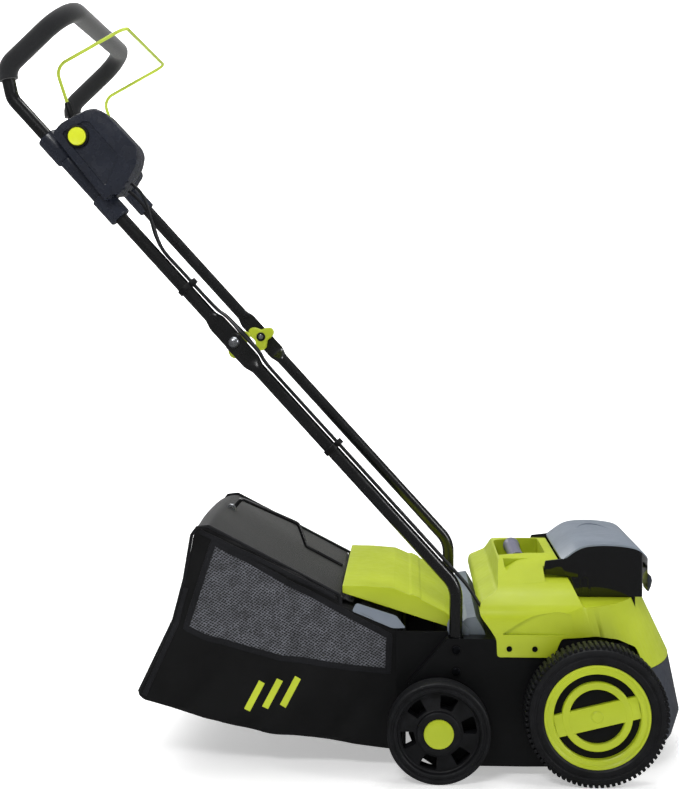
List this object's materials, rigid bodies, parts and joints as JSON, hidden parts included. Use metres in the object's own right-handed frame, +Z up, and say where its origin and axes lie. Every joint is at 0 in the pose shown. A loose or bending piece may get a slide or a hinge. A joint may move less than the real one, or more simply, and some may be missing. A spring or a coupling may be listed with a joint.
{
  "type": "lawn dethatcher",
  "caption": "Walk-behind battery lawn dethatcher with tine rotor, four wheels, lidded battery bay, rear flap, collection bag and folding handle with switch bail.",
  "frame": {"origin": "on the ground, at the middle of the machine's length and width", "axes": "+X the way it is pushed, +Y the operator's left, +Z up"},
  "size_m": [0.9996, 0.531, 1.1035],
  "materials": {
    "black_abs": "moulded, satin",
    "lime_abs": "moulded, fine grain",
    "grey_abs": "moulded, satin",
    "guard_abs": "moulded, fine grain",
    "grip_bar": "moulded, satin",
    "battery_case": "moulded",
    "motor_can": "painted",
    "belt_rubber": "moulded rubber",
    "steel": "zinc plated",
    "spring_steel": "drawn wire",
    "black_tube": "gloss powder coat",
    "foam": "closed-cell foam",
    "lime_wire": "powder coat",
    "cable_pvc": "PVC sheath",
    "tyre": "moulded rubber",
    "bag_cloth": "woven and mesh polyester",
    "bag_frame": "painted wire and moulded rim",
    "lid_gloss": "polished moulded"
  },
  "bodies": {
    "root": {"deck_shell": "black_abs", "motor_hood": "lime_abs", "deck_plate": "grey_abs", "front_guard": "guard_abs", "carry_handle": "grip_bar", "battery_bay": "black_abs", "battery_right": "battery_case", "battery_left": "battery_case", "drive_motor": "motor_can", "controller_board": "battery_case", "drive_belt": "belt_rubber", "belt_cover": "black_abs", "rotor_bearings": "steel", "rear_axles": "steel", "lower_handle_right": "black_tube", "lower_handle_left": "black_tube", "lower_handle_bolts": "steel", "hood_screws": "steel", "flap_pin": "steel", "cable_lower": "cable_pvc", "cable_clip_lower": "cable_pvc"},
    "rotor": {"rotor_shaft": "steel", "tine_holders": "black_abs", "spring_tines": "spring_steel", "rotor_pulley": "motor_can"},
    "motor_rotor": {"motor_shaft": "steel", "motor_pulley": "motor_can"},
    "axle_crank": {"front_axle": "steel", "depth_lever": "guard_abs"},
    "front_wheel_right": {"front_tyre_right": "tyre", "front_hub_right": "lime_abs"},
    "front_wheel_left": {"front_tyre_left": "tyre", "front_hub_left": "lime_abs"},
    "rear_wheel_right": {"rear_wheel_right": "black_abs", "rear_cap_right": "lime_abs"},
    "rear_wheel_left": {"rear_wheel_left": "black_abs", "rear_cap_left": "lime_abs"},
    "upper_handle": {"upper_handle": "black_tube", "handle_grip": "foam", "switch_box_outer": "guard_abs", "switch_box_inner": "guard_abs", "switch_box_screws": "steel", "bail_bracket": "guard_abs", "micro_switch": "battery_case", "cable_upper": "cable_pvc", "cable_joint": "cable_pvc", "cable_clip_upper": "cable_pvc", "fold_bolts": "steel"},
    "bail": {"bail_wire": "lime_wire", "bail_levers": "black_abs"},
    "lock_button": {"lock_button": "lime_abs"},
    "knob_right": {"knob_right": "lime_abs"},
    "knob_left": {"knob_left": "lime_abs"},
    "flap": {"rear_flap": "lime_abs"},
    "bag": {"bag_fabric": "bag_cloth", "bag_frame": "bag_frame"},
    "lid": {"battery_lid": "lid_gloss", "lid_panel": "grey_abs"},
    "latch": {"lid_latch": "guard_abs"}
  },
  "joints": [
    {"name": "handle_fold", "type": "hinge", "parent": "root", "child": "upper_handle", "pos_m": [-0.165, 0, 0.617], "axis": [0, 1, 0], "range_deg": [0, 125], "deforming": ["cable_joint"]},
    {"name": "bail_squeeze", "type": "hinge", "parent": "upper_handle", "child": "bail", "pos_m": [-0.3958, 0, 0.9205], "axis": [0, -1, 0], "range_deg": [0, 19], "stiffness_Nm_per_rad": 0.6, "springref_deg": -28.65},
    {"name": "lock_press", "type": "slide", "parent": "upper_handle", "child": "lock_button", "axis": [0, 1, 0], "range_m": [0, 0.0045], "stiffness_N_per_m": 400, "springref_m": -0.004},
    {"name": "knob_right_turn", "type": "hinge", "parent": "upper_handle", "child": "knob_right", "pos_m": [-0.165, -0.187, 0.617], "axis": [0, 1, 0], "continuous": true},
    {"name": "knob_left_turn", "type": "hinge", "parent": "upper_handle", "child": "knob_left", "pos_m": [-0.165, 0.187, 0.617], "axis": [0, 1, 0], "continuous": true},
    {"name": "flap_lift", "type": "hinge", "parent": "root", "child": "flap", "pos_m": [0.148, 0, 0.212], "axis": [0, 1, 0], "range_deg": [0, 60]},
    {"name": "bag_slide_off", "type": "slide", "parent": "root", "child": "bag", "axis": [-0.9541, 0, 0.2995], "range_m": [0, 0.3]},
    {"name": "lid_open", "type": "hinge", "parent": "root", "child": "lid", "pos_m": [0.292, 0, 0.283], "axis": [0, -1, 0], "range_deg": [0, 75]},
    {"name": "latch_pull", "type": "hinge", "parent": "lid", "child": "latch", "pos_m": [0.452, 0, 0.255], "axis": [0, -1, 0], "range_deg": [0, 25], "stiffness_Nm_per_rad": 0.05, "springref_deg": -17.19},
    {"name": "depth_set", "type": "hinge", "parent": "root", "child": "axle_crank", "pos_m": [0.357, 0, 0.112], "axis": [0, 1, 0], "range_deg": [0, 50]},
    {"name": "front_right_spin", "type": "hinge", "parent": "axle_crank", "child": "front_wheel_right", "pos_m": [0.345, -0.24, 0.1], "axis": [0, 1, 0], "continuous": true},
    {"name": "front_left_spin", "type": "hinge", "parent": "axle_crank", "child": "front_wheel_left", "pos_m": [0.345, 0.24, 0.1], "axis": [0, 1, 0], "continuous": true},
    {"name": "rear_right_spin", "type": "hinge", "parent": "root", "child": "rear_wheel_right", "pos_m": [0.126, -0.24, 0.0725], "axis": [0, 1, 0], "continuous": true},
    {"name": "rear_left_spin", "type": "hinge", "parent": "root", "child": "rear_wheel_left", "pos_m": [0.126, 0.24, 0.0725], "axis": [0, 1, 0], "continuous": true},
    {"name": "rotor_spin", "type": "hinge", "parent": "root", "child": "rotor", "pos_m": [0.235, 0, 0.062], "axis": [0, 1, 0], "continuous": true},
    {"name": "motor_spin", "type": "hinge", "parent": "root", "child": "motor_rotor", "pos_m": [0.262, 0, 0.186], "axis": [0, 1, 0], "continuous": true}
  ],
  "couplings": [
    {"joint": "motor_spin", "follows": "rotor_spin", "ratio": 1.5}
  ]
}
